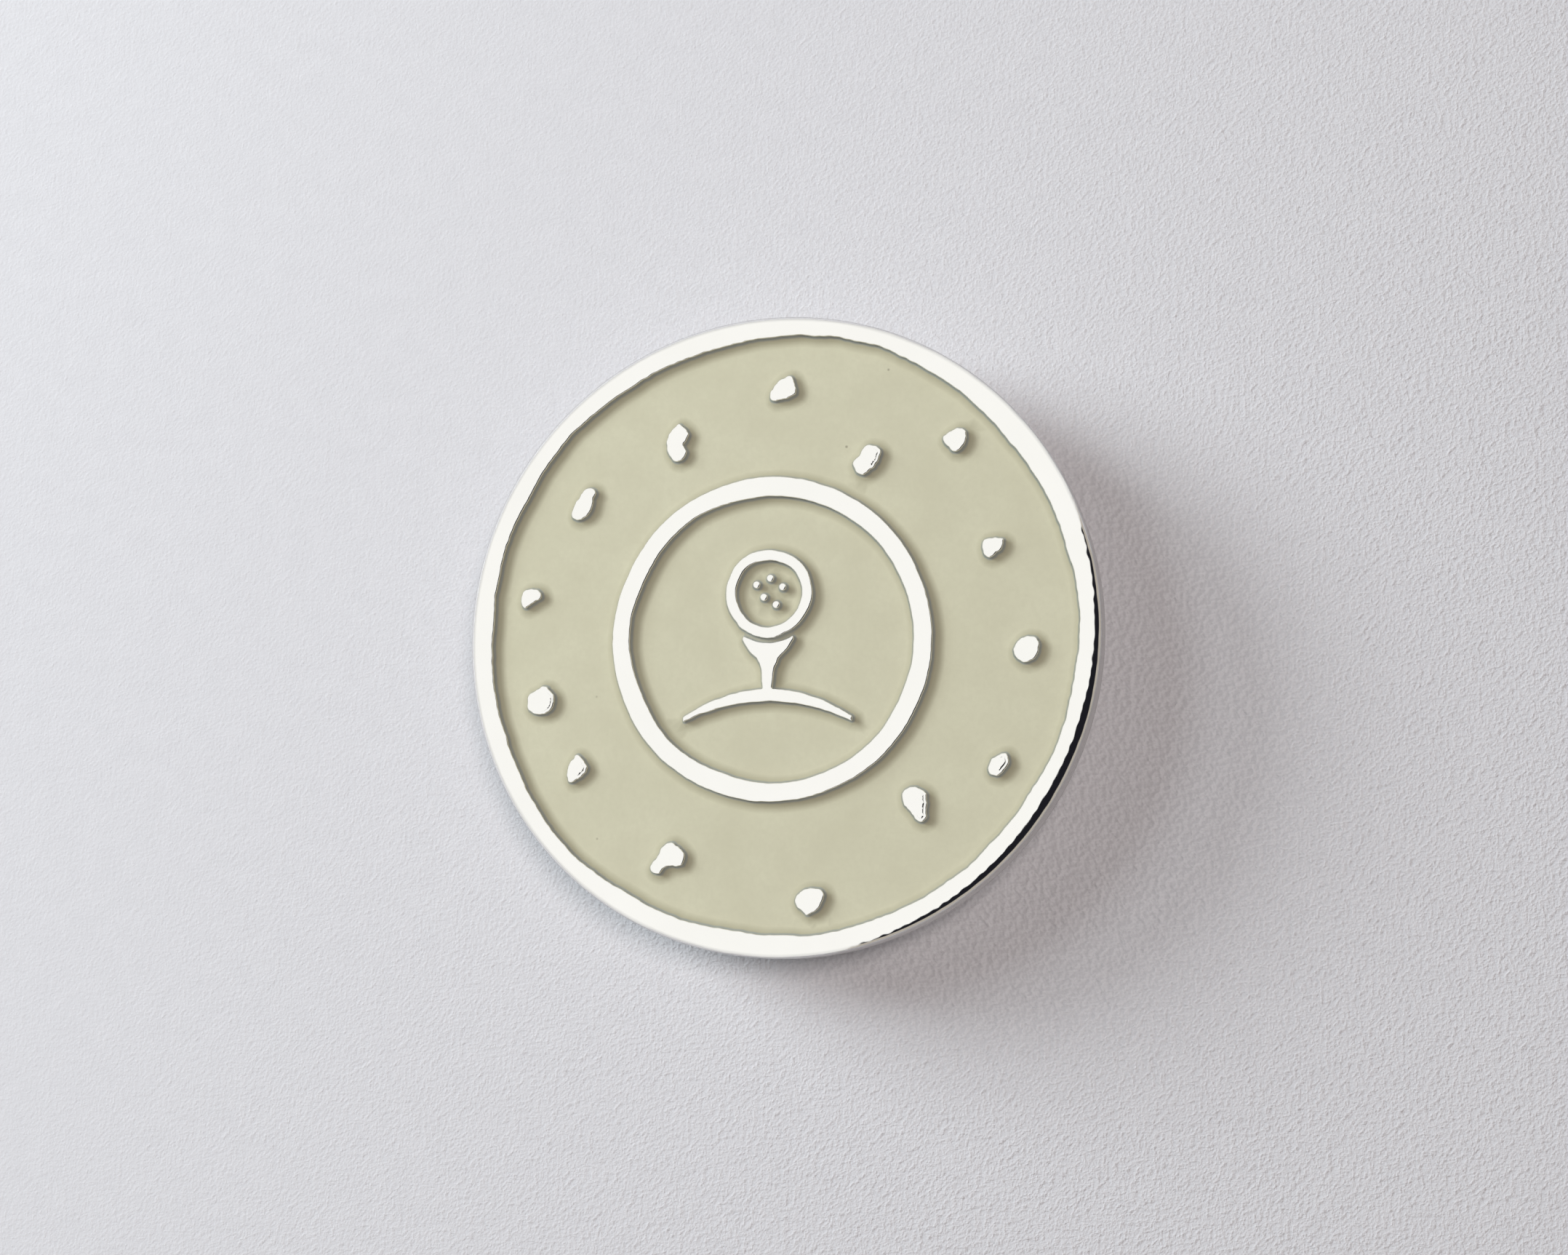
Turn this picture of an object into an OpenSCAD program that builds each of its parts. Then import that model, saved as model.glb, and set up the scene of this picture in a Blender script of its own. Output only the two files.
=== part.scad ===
// Enamelled golf ball marker, held by a magnet on a slim folded-strip hat clip.
// Millimetres, +Z up. The origin is on the resting surface, straight below the marker's centre.
// The marker lifts straight up off the magnet. The spring arm opens downwards about the clip's fold.

/* [Marker] */
// Outside diameter of the marker
marker_d = 25.4; // [24:0.1:26.5]
// Thickness of the marker over its raised metal
marker_t = 1.5; // [1.3:0.05:2]
// Radius of the polished outer shoulder
shoulder_r = 0.3; // [0.15:0.05:0.45]
// Radius that softens the back edge
back_edge_r = 0.1; // [0.05:0.01:0.2]
// Mean inner radius of the raised rim
rim_ri = 11.84; // [11.5:0.02:11.9]
// How far the enamel lies below the raised metal
enamel_drop = 0.28; // [0.1:0.02:0.4]
// Thickness of the enamel
enamel_t = 0.35; // [0.2:0.05:0.5]

/* [Raised ring] */
// Mean outer radius of the raised ring
ring_ro = 6.44; // [6.3:0.02:6.5]
// Mean inner radius of the raised ring
ring_ri = 5.69; // [5.5:0.01:6]
// Sideways offset of the ring from the marker's centre
ring_x = -0.3; // [-0.4:0.02:0.4]
// Upward offset of the ring from the marker's centre
ring_y = -0.22; // [-0.4:0.02:0.4]

/* [Emblem: ball on a tee] */
// Sideways offset of the emblem from the marker's centre
emblem_x = -0.4; // [-0.6:0.05:0.2]
// Upward offset of the emblem from the marker's centre
emblem_y = -0.05; // [-0.3:0.05:0.2]
// Outer radius of the ball's outline
ball_ro = 1.75; // [1.6:0.01:1.8]
// Width of the ball's outline
ball_line = 0.42; // [0.3:0.01:0.5]
// Radius of each raised dimple dot in the ball
dot_r = 0.15; // [0.1:0.01:0.18]
// Gap of enamel between the ball and the tee's cup
cup_gap = 0.2; // [0.15:0.01:0.3]
// Half the length of the ground line under the tee
ground_half = 3.4; // [2.8:0.1:3.6]

/* [Clip] */
// Outside diameter of the clip's dish
dish_d = 20; // [19:0.1:21]
// Thickness of the dish's floor
dish_floor = 0.5; // [0.4:0.05:0.6]
// Depth of the dish above its floor
dish_depth = 1.2; // [1.1:0.05:1.4]
// Thickness of the dish's wall
dish_wall = 0.8; // [0.5:0.05:0.9]
// Radius of the dish's lower outer corner
dish_corner_r = 0.6; // [0.3:0.05:0.8]
// Diameter of the magnet
magnet_d = 12; // [10:0.1:12.4]
// Thickness of the magnet
magnet_t = 1; // [0.8:0.05:1]
// Thickness of the adhesive under the magnet
glue_t = 0.1; // [0.05:0.01:0.1]
// Width of the spring strip
strip_w = 9; // [7:0.5:9]
// Thickness of the spring strip
strip_t = 0.45; // [0.35:0.01:0.5]
// Gap between the strip's two leaves
strip_gap = 0.9; // [0.8:0.05:1.2]
// Distance from the marker's centre to the centre of the fold
fold_y = 8.6; // [8.4:0.05:8.8]
// Distance from the marker's centre to the arm's free end
arm_reach = 10.2; // [9.6:0.1:10.4]
// Distance from the marker's centre to the arm's gripping crest
crest_reach = 5; // [4.6:0.1:5.2]
// Distance from each rivet to the marker's centre
rivet_y = 7.6; // [7.5:0.05:7.7]
// Radius of a rivet's shank
rivet_r = 0.6; // [0.4:0.05:0.7]

/* [Hidden] */

$fn = 96;

// Heights above the resting surface
leaf_z = strip_t + strip_gap;
dish_z = leaf_z + strip_t;
marker_z = dish_z + dish_floor + dish_depth;
field_z = marker_z + marker_t - enamel_drop - enamel_t;
enamel_z = field_z + enamel_t;
top_z = marker_z + marker_t;

// The raised shapes start this far inside the field's floor, so that they join it
rooted = 0.1;
// Rivets pass through their holes with this clearance all round
rivet_play = 0.02;
rivet_head_r = 1.05;
rivet_head_t = 0.3;
rivet_tail_r = 0.9;
rivet_tail_t = 0.15;

// Waves around a nearly round edge: [waves in a turn, height, phase in degrees]
rim_waves = [
  [2, 0.02, 285], [3, 0.03, 185], [4, 0.02, 195], [5, 0.06, 70],
  [7, 0.02, 295], [12, 0.015, 305], [13, 0.02, 65], [16, 0.015, 10]
];
ring_outer_waves = [[2, 0.04, 175], [3, 0.02, 160], [8, 0.01, 120]];
ring_inner_waves = [[2, 0.05, 165], [4, 0.015, 335], [6, 0.015, 115], [7, 0.02, 295], [8, 0.02, 105]];
ball_waves = [[3, 0.02, 40], [5, 0.012, 200]];

// Each pebble is its centre on the marker, then the corners of its outline about that centre
pebbles = [
  [[0.05, 9.75], [[0.05, 0.45], [0.3, 0.55], [0.45, 0.3], [0.6, -0.3], [-0.5, -0.5], [-0.55, -0.15],
    [-0.2, 0.3]]],
  [[6.95, 7.55], [[-0.55, 0.1], [-0.2, 0.25], [0.15, 0.45], [0.4, 0.42], [0.5, 0.2], [0.45, -0.15],
    [0.3, -0.4], [0, -0.55], [-0.25, -0.3]]],
  [[3.5, 6.85], [[0.05, 0.55], [0.3, 0.55], [0.55, 0.3], [0.5, -0.05], [0.25, -0.4], [-0.15, -0.65],
    [-0.5, -0.5], [-0.6, -0.15], [-0.35, 0.1], [-0.2, 0.4]]],
  [[-4.2, 7.7], [[0.05, 0.8], [0.4, 0.4], [0.4, 0.15], [0.2, -0.1], [0.35, -0.4], [0.2, -0.7],
    [-0.2, -0.75], [-0.45, -0.4], [-0.5, 0.05], [-0.4, 0.4], [-0.1, 0.7]]],
  [[-8.15, 5.25], [[0.1, 0.7], [0.45, 0.7], [0.6, 0.5], [0.4, 0.2], [0.4, -0.2], [0.15, -0.5],
    [-0.25, -0.65], [-0.45, -0.4], [-0.35, 0.1], [-0.05, 0.4]]],
  [[-10.2, 1.55], [[0, 0.42], [0.3, 0.3], [0.45, 0.1], [0.35, -0.08], [0.15, -0.15], [-0.25, -0.48],
    [-0.4, -0.25], [-0.4, 0.1], [-0.22, 0.35]]],
  [[-9.65, -2.55], [[0.08, 0.6], [0.5, 0.28], [0.58, -0.05], [0.42, -0.45], [0.1, -0.6], [-0.3, -0.6],
    [-0.6, -0.3], [-0.58, 0.15], [-0.2, 0.35]]],
  [[-8.05, -5.3], [[-0.05, 0.62], [0.25, 0.25], [0.42, -0.03], [0.25, -0.3], [-0.3, -0.62],
    [-0.48, -0.3], [-0.42, 0.15], [-0.25, 0.38]]],
  [[8.5, 3.25], [[-0.4, 0.32], [0.42, 0.38], [0.42, 0.08], [0.25, -0.2], [-0.2, -0.5], [-0.42, -0.2]]],
  [[9.85, -0.75], [[-0.1, 0.48], [0.3, 0.48], [0.47, 0.2], [0.45, -0.15], [0.28, -0.42], [0, -0.55],
    [-0.38, -0.45], [-0.55, -0.1], [-0.42, 0.28]]],
  [[8.75, -5.15], [[0.05, 0.38], [0.32, 0.38], [0.43, 0.05], [0.3, -0.25], [-0.08, -0.55],
    [-0.4, -0.37], [-0.38, -0.05], [-0.18, 0.25]]],
  [[5.55, -6.65], [[-0.18, 0.58], [0.15, 0.56], [0.46, 0.33], [0.4, 0], [0.46, -0.65], [0.2, -0.8],
    [0, -0.65], [-0.18, -0.38], [-0.5, -0.12], [-0.56, 0.22], [-0.42, 0.48]]],
  [[-4.3, -8.8], [[0.1, 0.6], [0.5, 0.4], [0.72, 0.05], [0.65, -0.27], [0.42, -0.38], [-0.05, -0.32],
    [-0.35, -0.68], [-0.68, -0.6], [-0.73, -0.33], [-0.45, -0.05], [-0.28, 0.4]]],
  [[1.4, -10.45], [[-0.15, 0.45], [0.42, 0.48], [0.6, 0.2], [0.47, -0.2], [0.2, -0.42], [-0.1, -0.62],
    [-0.25, -0.42], [-0.55, -0.2], [-0.58, 0.12], [-0.38, 0.35]]]
];

// Emblem, about its own centre: the ball stands over the tee's cup, and the tee in the ground line
ball_centre = [0, 1.62];
ball_ri = ball_ro - ball_line;
dots = [[-0.5, 0.35], [0.05, 0.6], [0.55, 0.25], [-0.2, -0.15], [0.3, -0.45]];
cup_half_angle = 31;
tee_side = [[1.05, -0.2], [0.8, -0.6], [0.45, -0.95], [0.28, -1.35], [0.17, -2.4]];
ground_steps = 24;
ground_y = -2.4;
ground_fall = 0.95;
ground_end_w = 0.1;
ground_mid_w = 0.25;

function wave_sum(turn, waves) =
  len(waves) == 0 ? 0 : [for (w = waves) w[1] * sin(w[0] * turn + w[2])] * [for (w = waves) 1];
function wavy_circle(r, waves, steps) = [
  for (i = [0 : steps - 1])
    let (turn = 360 * i / steps)
      (r + wave_sum(turn, waves)) * [cos(turn), sin(turn)]
];
// Replaces each corner of a closed outline with a short flat, share of an edge from the corner
function cut_corners(outline, share) = [
  for (i = [0 : len(outline) - 1])
    let (a = outline[i], b = outline[(i + 1) % len(outline)])
      each [a + (b - a) * share, b + (a - b) * share]
];
function softened(outline) = cut_corners(cut_corners(outline, 0.22), 0.25);
function mirrored(half) = concat(half, [for (i = [len(half) - 1 : -1 : 0]) [-half[i][0], half[i][1]]]);
function tee_outline() = concat(
  mirrored(tee_side),
  arc(ball_centre, ball_ro + cup_gap, -90 - cup_half_angle, -90 + cup_half_angle, 10)
);
// The centre and half width of the ground line at s, from -1 at its left end to 1 at its right end
function ground_mid(s) = [ground_half * s, ground_y - ground_fall * s * s];
function ground_w(s) = ground_end_w + (ground_mid_w - ground_end_w) * (1 - s * s);
function ground_outline() = concat(
  [for (i = [0 : ground_steps]) let (s = 2 * i / ground_steps - 1) ground_mid(s) - [0, ground_w(s)]],
  [for (i = [ground_steps : -1 : 0]) let (s = 2 * i / ground_steps - 1) ground_mid(s) + [0, ground_w(s)]]
);
function arc(centre, r, from, to, steps) = [
  for (i = [0 : steps]) let (a = from + (to - from) * i / steps) centre + r * [cos(a), sin(a)]
];

rim_edge = wavy_circle(rim_ri, rim_waves, 144);
ring_outer_edge = wavy_circle(ring_ro, ring_outer_waves, 96);
ring_inner_edge = wavy_circle(ring_ri, ring_inner_waves, 96);
ball_outer_edge = wavy_circle(ball_ro, ball_waves, 48);
ball_inner_edge = wavy_circle(ball_ri, ball_waves, 48);

// An upright block on an outline, from one height to another
module block(outline, from_z, to_z) {
  translate([0, 0, from_z]) linear_extrude(to_z - from_z) polygon(outline);
}

module at_ring() {
  translate([ring_x, ring_y, 0]) children();
}

module at_ball() {
  translate([emblem_x + ball_centre[0], emblem_y + ball_centre[1], 0]) children();
}

module pebble_blocks(from_z, to_z) {
  for (pebble = pebbles)
    translate([pebble[0][0], pebble[0][1], 0]) block(softened(pebble[1]), from_z, to_z);
}

module dot_blocks(from_z, to_z) {
  for (dot = dots)
    at_ball() translate([dot[0], dot[1], from_z]) cylinder(r = dot_r, h = to_z - from_z, $fn = 32);
}

// The tee and the ground line, without the ball
module tee_blocks(from_z, to_z) {
  translate([emblem_x, emblem_y, 0]) {
    block(tee_outline(), from_z, to_z);
    block(ground_outline(), from_z, to_z);
  }
}

// The plain struck disc, with its quarter-round shoulder
module blank() {
  r = marker_d / 2;
  profile = concat(
    [[0, 0]],
    arc([r - back_edge_r, back_edge_r], back_edge_r, -90, 0, 4),
    arc([r - shoulder_r, marker_t - shoulder_r], shoulder_r, 0, 90, 10),
    [[0, marker_t]]
  );
  translate([0, 0, marker_z]) rotate_extrude() polygon(profile);
}

module marker_body() {
  from_z = field_z - rooted;
  color("silver") union() {
    difference() {
      blank();
      block(rim_edge, field_z, top_z + 1);
    }
    at_ring() difference() {
      block(ring_outer_edge, from_z, top_z);
      block(ring_inner_edge, from_z - 1, top_z + 1);
    }
    at_ball() difference() {
      block(ball_outer_edge, from_z, top_z);
      block(ball_inner_edge, from_z - 1, top_z + 1);
    }
    pebble_blocks(from_z, top_z);
    dot_blocks(from_z, top_z);
    tee_blocks(from_z, top_z);
  }
}

module outer_enamel() {
  color([0.78, 0.77, 0.67]) difference() {
    block(rim_edge, field_z, enamel_z);
    at_ring() block(ring_outer_edge, field_z - 1, enamel_z + 1);
    pebble_blocks(field_z - 1, enamel_z + 1);
  }
}

module inner_enamel() {
  color([0.78, 0.77, 0.67]) difference() {
    at_ring() block(ring_inner_edge, field_z, enamel_z);
    at_ball() block(ball_outer_edge, field_z - 1, enamel_z + 1);
    tee_blocks(field_z - 1, enamel_z + 1);
  }
}

module ball_enamel() {
  color([0.78, 0.77, 0.67]) difference() {
    at_ball() block(ball_inner_edge, field_z, enamel_z);
    dot_blocks(field_z - 1, enamel_z + 1);
  }
}

// Holes through the dish's floor and the upper leaf
module rivet_holes() {
  for (side = [-1, 1])
    translate([0, side * rivet_y, leaf_z - 1]) cylinder(r = rivet_r + rivet_play, h = strip_t + dish_floor + 2);
}

module clip_dish() {
  r = dish_d / 2;
  profile = concat(
    [[0, 0]],
    arc([r - dish_corner_r, dish_corner_r], dish_corner_r, -90, 0, 8),
    [[r, dish_floor + dish_depth], [r - dish_wall, dish_floor + dish_depth], [r - dish_wall, dish_floor],
      [0, dish_floor]]
  );
  color("gainsboro") difference() {
    translate([0, 0, dish_z]) rotate_extrude() polygon(profile);
    rivet_holes();
  }
}

module magnet_adhesive() {
  color("khaki") translate([0, 0, dish_z + dish_floor]) cylinder(d = magnet_d - 0.4, h = glue_t);
}

module magnet() {
  color("dimgray") translate([0, 0, dish_z + dish_floor + glue_t]) cylinder(d = magnet_d, h = magnet_t);
}

// A rivet with its head in the dish and its tail under the upper leaf
module rivet(y) {
  color("lightslategray") translate([0, y, 0]) {
    translate([0, 0, leaf_z]) cylinder(r = rivet_r, h = strip_t + dish_floor, $fn = 48);
    translate([0, 0, dish_z + dish_floor]) cylinder(r = rivet_head_r, h = rivet_head_t, $fn = 48);
    translate([0, 0, leaf_z - rivet_tail_t]) cylinder(r = rivet_tail_r, h = rivet_tail_t, $fn = 48);
  }
}

// Plan outline of a strip from a square end at the fold to a free end with rounded corners
function strip_plan(reach, corner_r) = let (w = strip_w / 2) concat(
  [[w, fold_y], [-w, fold_y]],
  arc([corner_r - w, corner_r - reach], corner_r, 180, 270, 8),
  arc([w - corner_r, corner_r - reach], corner_r, 270, 360, 8)
);

module clip_leaf() {
  color("lightsteelblue") difference() {
    block(strip_plan(9.2, 3), leaf_z, dish_z);
    rivet_holes();
  }
}

// Half a tube around the fold's axis, joining the upper leaf to the arm
module clip_fold() {
  fold_r = dish_z / 2;
  color("lightsteelblue") translate([-strip_w / 2, fold_y, fold_r]) rotate([0, 90, 0]) difference() {
    cylinder(r = fold_r, h = strip_w);
    translate([0, 0, -1]) cylinder(r = fold_r - strip_t, h = strip_w + 2);
    translate([-fold_r - 1, -2 * fold_r, -1]) cube([2 * fold_r + 2, 2 * fold_r, strip_w + 2]);
  }
}

// The arm lies flat from the fold, rises to a crest that grips, and falls to its flared free end
module spring_arm() {
  crest_clear = 0.1;
  crest_rise = strip_gap - crest_clear;
  flat_y = 3;
  crest_y = -crest_reach;
  underside = [[fold_y, 0], [flat_y, 0], [crest_y + 0.6, crest_rise - 0.05], [crest_y, crest_rise],
    [crest_y - 0.6, crest_rise - 0.1], [-arm_reach, 0]];
  topside = [for (i = [len(underside) - 1 : -1 : 0]) underside[i] + [0, strip_t]];
  color("lightsteelblue") intersection() {
    rotate([90, 0, 90]) translate([0, 0, -strip_w / 2 - 1]) linear_extrude(strip_w + 2)
      polygon(concat(underside, topside));
    block(strip_plan(arm_reach, 2), -1, leaf_z);
  }
}

marker_body();
outer_enamel();
inner_enamel();
ball_enamel();
clip_dish();
magnet();
magnet_adhesive();
rivet(-rivet_y);  // rivet_front
rivet(rivet_y);  // rivet_back
clip_leaf();
clip_fold();
spring_arm();
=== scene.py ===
"""Looks of an enamelled golf ball marker on its slim hat clip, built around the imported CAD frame."""

import math

import bmesh
import bpy
import numpy as np
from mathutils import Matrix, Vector, geometry, kdtree, noise


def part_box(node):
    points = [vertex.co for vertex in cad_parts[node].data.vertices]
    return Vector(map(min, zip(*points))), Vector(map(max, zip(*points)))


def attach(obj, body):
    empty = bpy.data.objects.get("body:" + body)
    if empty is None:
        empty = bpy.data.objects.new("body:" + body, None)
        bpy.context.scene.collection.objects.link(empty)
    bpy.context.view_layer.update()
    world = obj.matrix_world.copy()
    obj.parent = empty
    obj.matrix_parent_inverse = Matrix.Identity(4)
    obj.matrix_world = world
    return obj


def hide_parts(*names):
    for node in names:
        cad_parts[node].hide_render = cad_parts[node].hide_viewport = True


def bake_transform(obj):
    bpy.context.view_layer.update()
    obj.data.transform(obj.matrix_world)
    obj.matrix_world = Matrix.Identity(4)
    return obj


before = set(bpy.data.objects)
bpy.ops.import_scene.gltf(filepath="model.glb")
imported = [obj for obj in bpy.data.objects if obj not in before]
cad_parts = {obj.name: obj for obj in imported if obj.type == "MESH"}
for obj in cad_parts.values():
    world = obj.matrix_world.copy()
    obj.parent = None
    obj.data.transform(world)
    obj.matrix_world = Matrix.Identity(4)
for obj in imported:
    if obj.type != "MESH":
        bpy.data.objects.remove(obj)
bpy.context.view_layer.update()

MM = 0.001          # shapes are worked out in millimetres, and made in metres
FAR = 9.0           # a distance from the outlines at which none of their effects is left
rng = np.random.default_rng(11)


# ---------------------------------------------------------------- sizes and outlines from the CAD

def box_mm(node):
    low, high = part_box(node)
    return np.array(low) / MM, np.array(high) / MM


def flat_loops(node, z):
    """Closed outlines of a CAD node's flat faces at height z, in mm, with the faces on their left."""
    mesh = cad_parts[node].data
    edges = {}
    for face in mesh.polygons:
        corners = [mesh.vertices[i].co / MM for i in face.vertices]
        if max(abs(c.z - z) for c in corners) > 0.001:
            continue
        keys = [(round(c.x * 1000), round(c.y * 1000)) for c in corners]
        for a, b in zip(keys, keys[1:] + keys[:1]):
            if (b, a) in edges:
                del edges[b, a]
            else:
                edges[a, b] = True
    follow = dict(edges.keys())
    loops = []
    while follow:
        start, point = follow.popitem()
        loop = [start]
        while point != start:
            loop.append(point)
            point = follow.pop(point)
        loops.append(np.array(loop) / 1000)
    return loops


def signed_area(loop):
    after = np.roll(loop, -1, 0)
    return (loop[:, 0] * after[:, 1] - loop[:, 1] * after[:, 0]).sum() / 2


def resampled(loop, spacing, softness):
    """The same closed outline with even points, and with its corners softened over that length."""
    closed = np.vstack([loop, loop[:1]])
    along = np.concatenate([[0], np.cumsum(np.linalg.norm(np.diff(closed, axis=0), axis=1))])
    length = along[-1]
    count = max(16, round(length / spacing))
    dense = 8 * count
    steps = np.arange(dense) * length / dense
    line = np.interp(steps, along, closed[:, 0]) + 1j * np.interp(steps, along, closed[:, 1])
    turns = np.fft.fftfreq(dense, length / dense)
    line = np.fft.ifft(np.fft.fft(line) * np.exp(-2 * (math.pi * turns * softness) ** 2))[::8]
    return np.column_stack([line.real, line.imag])


def circle(radius, count, centre=(0, 0), lumps=0.0, seed=0.0):
    """A ring of points, with a smooth unevenness of that height in its radius."""
    turn = 2 * math.pi * np.arange(count) / count
    uneven = np.array([noise.noise(Vector((5 * math.cos(t), 5 * math.sin(t), seed))) for t in turn])
    radii = radius + lumps * uneven
    return np.column_stack([centre[0] + radii * np.cos(turn), centre[1] + radii * np.sin(turn)])


def outline_normals(loop):
    """Unit vectors to the right of the outline's direction."""
    way = np.roll(loop, -1, 0) - np.roll(loop, 1, 0)
    way /= np.linalg.norm(way, axis=1)[:, None]
    return np.column_stack([way[:, 1], -way[:, 0]])


def roughened(loop, *waves):
    """The outline as a hand left it. Each wave is (height, length, seed), in mm."""
    push = sum(height * np.array([noise.noise(Vector((x / length, y / length, seed))) for x, y in loop])
               for height, length, seed in waves)
    return loop + outline_normals(loop) * push[:, None]


marker_low, marker_high = box_mm("marker_body")
enamel_low, enamel_high = box_mm("outer_enamel")
BACK_Z, TOP_Z = marker_low[2], marker_high[2]
FIELD_Z, ENAMEL_Z = enamel_low[2], enamel_high[2]
MARKER_R = marker_high[0]

# Largest first, the solid ones are the rim, the ring, the ball, the tee, the pebbles and the ball's dots.
DOTS = 5
found = sorted(flat_loops("marker_body", TOP_Z), key=lambda loop: -abs(signed_area(loop)))
solid_loops = [loop for loop in found if signed_area(loop) > 0]
hole_loops = [loop for loop in found if signed_area(loop) < 0]
SHOULDER_W = MARKER_R - solid_loops[0][:, 0].max() + 0.08   # the polish reaches in past the designed shoulder
SHOULDER_FALL = 0.177                                       # height of its arc, above a tight corner
rim_in = roughened(resampled(hole_loops[0], 0.06, 0.14), (0.055, 1.1, 1), (0.03, 0.3, 2))
ring_in = roughened(resampled(hole_loops[1], 0.06, 0.12), (0.025, 0.9, 3), (0.014, 0.25, 4))
ring_out = roughened(resampled(solid_loops[1], 0.06, 0.12), (0.025, 0.9, 5), (0.014, 0.25, 6))
ball_in = roughened(resampled(hole_loops[2], 0.04, 0.05), (0.03, 0.5, 7), (0.012, 0.2, 8))
ball_out = roughened(resampled(solid_loops[2], 0.04, 0.05), (0.03, 0.5, 9), (0.012, 0.2, 10))
tee = roughened(resampled(solid_loops[3], 0.04, 0.035), (0.03, 0.5, 11), (0.012, 0.2, 12))
pebbles = [roughened(resampled(loop, 0.035, 0.028), (0.06, 0.5, 13), (0.035, 0.17, 14))
           for loop in solid_loops[4:-DOTS]]
dots = [resampled(loop, 0.035, 0.02) for loop in solid_loops[-DOTS:]]


# ---------------------------------------------------------------- filling outlines with faces

def inside(points, loops):
    """Whether each point lies inside an odd number of the outlines."""
    odd = np.zeros(len(points), bool)
    x, y = points.T
    for loop in loops:
        for (ax, ay), (bx, by) in zip(loop, np.roll(loop, -1, 0)):
            if ay != by:
                odd ^= ((ay > y) != (by > y)) & (x < ax + (y - ay) * (bx - ax) / (by - ay))
    return odd


def depth(points, loops):
    """Each point's distance from the nearest edge of the outlines."""
    corners = np.concatenate(loops)
    sides = [np.concatenate([np.roll(loop, shift, 0) for loop in loops]) for shift in (1, -1)]
    tree = kdtree.KDTree(len(corners))
    for i, (x, y) in enumerate(corners):
        tree.insert((x, y, 0), i)
    tree.balance()
    near = np.array([tree.find((x, y, 0))[1] for x, y in points])
    best = np.full(len(points), np.inf)
    for side in sides:
        start, way = corners[near], (side - corners)[near]
        share = np.clip(((points - start) * way).sum(1) / (way ** 2).sum(1), 0, 1)
        best = np.minimum(best, np.linalg.norm(points - start - share[:, None] * way, axis=1))
    return best


def filled(loops, near, steps, grid):
    """Points and triangles that fill the space between outlines. The outlines' own points come first, then
    rows of points at each of the steps from the outlines in near, then an even grid."""
    extra = []
    for step in steps:
        for loop in near:
            stride = max(1, round(step / 0.06))
            for side in (1, -1):
                row = (loop + side * step * outline_normals(loop))[::stride]
                extra.append(row[inside(row, loops)])
    rows = np.concatenate(extra) if extra else np.zeros((0, 2))
    if len(rows):
        gap = depth(rows, near)
        reach = np.array(steps)
        rows = rows[np.abs(gap[:, None] - reach[None]).min(1) < 0.002 + 0.03 * gap]
    low, high = np.concatenate(loops).min(0), np.concatenate(loops).max(0)
    xs, ys = np.arange(low[0], high[0], grid), np.arange(low[1], high[1], grid * 0.866)
    spots = np.array([(x + grid / 2 * (j % 2), y) for j, y in enumerate(ys) for x in xs])
    spots += rng.uniform(-0.12, 0.12, spots.shape) * grid
    spots = spots[inside(spots, loops)]
    if len(spots):
        spots = spots[depth(spots, loops) > 0.45 * grid]
    if len(spots) and steps:
        spots = spots[depth(spots, near) > steps[-1] + 0.45 * grid]
    if not len(spots):
        spots = np.zeros((0, 2))
    points = np.concatenate(loops + [rows, spots])
    edges, first = [], 0
    for loop in loops:
        edges += [(first + i, first + (i + 1) % len(loop)) for i in range(len(loop))]
        first += len(loop)
    made, _, faces, origins, _, _ = geometry.delaunay_2d_cdt(
        [Vector(p) for p in points], edges, [], 0, 1e-7)
    back = {k: ids[0] for k, ids in enumerate(origins) if ids}
    faces = np.array([[back[i] for i in face] for face in faces if all(i in back for i in face)])
    keep = inside(points[faces].mean(1), loops)
    return points, faces[keep]


class Solid:
    """Patches of faces in millimetres that become one welded mesh piece."""

    def __init__(self):
        self.points, self.faces, self.count = [], [], 0

    def add(self, points, faces):
        self.points.append(np.asarray(points, float))
        self.faces += [[self.count + i for i in face] for face in faces]
        self.count += len(points)

    def fill(self, loops, height, near=(), steps=(), grid=1.0):
        """Fills the space between outlines. height(points, depth from near) gives each point's z."""
        near = list(near)
        points, faces = filled(loops, near, list(steps), grid)
        gap = depth(points, near) if near else np.full(len(points), FAR)
        self.add(np.column_stack([points, height(points, gap)]), faces.tolist())

    def rings(self, rings, closed=False):
        """Joins rings of as many points each with a band of faces. closed joins the last to the first."""
        n = len(rings[0])
        faces = []
        for k in range(len(rings) - (0 if closed else 1)):
            a, b = k * n, (k + 1) % len(rings) * n
            faces += [(a + i, b + i, b + (i + 1) % n, a + (i + 1) % n) for i in range(n)]
        self.add(np.concatenate(rings), faces)

    def cap(self, ring):
        self.add(ring, [list(range(len(ring)))])

    def piece(self, name, body, material, replaces, sharp=38):
        mesh = bpy.data.meshes.new(name)
        mesh.from_pydata((np.concatenate(self.points) * MM).tolist(), [], self.faces)
        work = bmesh.new()
        work.from_mesh(mesh)
        bmesh.ops.remove_doubles(work, verts=work.verts, dist=2e-7)
        bmesh.ops.dissolve_degenerate(work, edges=work.edges, dist=1e-8)
        bmesh.ops.recalc_face_normals(work, faces=work.faces)
        work.to_mesh(mesh)
        work.free()
        mesh.shade_smooth()
        mesh.set_sharp_from_angle(angle=math.radians(sharp))
        mesh.materials.append(material)
        made = bpy.data.objects.new(name, mesh)
        bpy.context.scene.collection.objects.link(made)
        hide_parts(*replaces)
        if body:
            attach(made, body)
        return made


def level(loop, z):
    return np.column_stack([loop, np.full(len(loop), z)])


# ---------------------------------------------------------------- materials

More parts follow.
